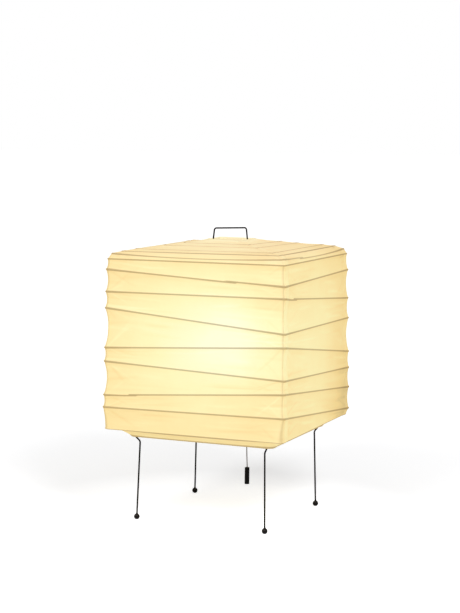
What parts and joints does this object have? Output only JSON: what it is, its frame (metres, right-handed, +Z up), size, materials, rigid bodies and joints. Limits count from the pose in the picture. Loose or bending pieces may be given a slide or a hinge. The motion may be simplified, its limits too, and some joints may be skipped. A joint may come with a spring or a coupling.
{
  "type": "paper table lamp",
  "caption": "Square paper table lamp: ribbed paper shade on a four-legged wire stand with ball feet, wire carrying handle, lampholder and pull-cord switch.",
  "frame": {"origin": "on the floor, under the middle of the shade", "axes": "+Z up; -Y out of the front side of the shade, +X out of the right side"},
  "size_m": [0.2984, 0.2984, 0.4542],
  "materials": {
    "paper": "thin handmade mulberry paper, matte, lit from inside",
    "bamboo": "split bamboo, plain",
    "ring_wire": "dull grey steel wire",
    "black_wire": "black satin enamel on steel wire",
    "foot_ball": "black satin enamel",
    "black_steel": "black satin enamel",
    "zinc_steel": "zinc plated",
    "black_nylon": "moulded nylon",
    "holder_black": "black moulded phenolic",
    "porcelain": "white porcelain",
    "brass": "plain brass",
    "pull_cord": "twisted grey-brown cotton cord",
    "knob_black": "black satin",
    "opal_glass": "opal glass, lit",
    "lamp_cap": "nickel plated",
    "lamp_insulator": "black glass",
    "stem_glass": "clear glass"
  },
  "bodies": {
    "lamp_frame": {"paper_front": "paper", "paper_right": "paper", "paper_back": "paper", "paper_left": "paper", "rib_01": "bamboo", "rib_02": "bamboo", "rib_03": "bamboo", "rib_04": "bamboo", "rib_05": "bamboo", "rib_06": "bamboo", "rib_07": "bamboo", "rib_08": "bamboo", "rib_09": "bamboo", "rib_10": "bamboo", "rib_11": "bamboo", "rib_12": "bamboo", "rib_13": "bamboo", "rib_14": "bamboo", "top_opening_ring": "ring_wire", "bottom_opening_ring": "ring_wire", "leg_front_left": "black_wire", "leg_front_right": "black_wire", "leg_back_right": "black_wire", "leg_back_left": "black_wire", "foot_front_left": "foot_ball", "foot_front_right": "foot_ball", "foot_back_right": "foot_ball", "foot_back_left": "foot_ball", "handle_stretcher": "black_wire", "tee_front_left": "black_steel", "tee_back_right": "black_steel", "hub": "black_steel", "hub_washer": "zinc_steel", "hub_nut": "zinc_steel", "threaded_tube": "zinc_steel", "lead_bush": "black_nylon", "spacer": "black_steel", "holder_cap": "holder_black", "holder_shell": "holder_black", "holder_core": "porcelain", "screw_shell": "brass", "centre_contact": "brass", "terminal_screws": "brass", "core_screws": "brass", "switch_housing": "holder_black", "switch_bush": "brass", "return_spring": "zinc_steel", "switch_contacts": "brass"},
    "pull": {"pull_plunger": "brass"},
    "link": {"pull_link": "brass"},
    "cord": {"cord_ferrule": "brass", "pull_cord": "pull_cord", "pull_knob": "knob_black"},
    "bulb_base": {"bulb_contact": "lamp_cap"},
    "bulb": {"bulb_glass": "opal_glass", "bulb_cap": "lamp_cap", "bulb_insulator": "lamp_insulator", "bulb_stem": "stem_glass"}
  },
  "joints": [
    {"name": "pull_switch", "type": "slide", "parent": "lamp_frame", "child": "pull", "axis": [0, 0, -1], "range_m": [0, 0.008], "stiffness_N_per_m": 600, "springref_m": -0.006, "deforming": ["return_spring"]},
    {"name": "link_swing", "type": "hinge", "parent": "pull", "child": "link", "pos_m": [0.031, 0, 0.15515], "axis": [0, 1, 0], "range_deg": [-25, 25]},
    {"name": "cord_swing", "type": "hinge", "parent": "link", "child": "cord", "pos_m": [0.031, 0, 0.15245], "axis": [1, 0, 0], "range_deg": [-25, 25]},
    {"name": "bulb_rise", "type": "slide", "parent": "lamp_frame", "child": "bulb_base", "axis": [0, 0, 1], "range_m": [0, 0.00907]},
    {"name": "bulb_turn", "type": "hinge", "parent": "bulb_base", "child": "bulb", "pos_m": [0, 0, 0.2], "axis": [0, 0, 1], "range_deg": [0, 901]}
  ],
  "couplings": [
    {"joint": "bulb_turn", "follows": "bulb_rise", "rad_per_m": 1730.9}
  ]
}
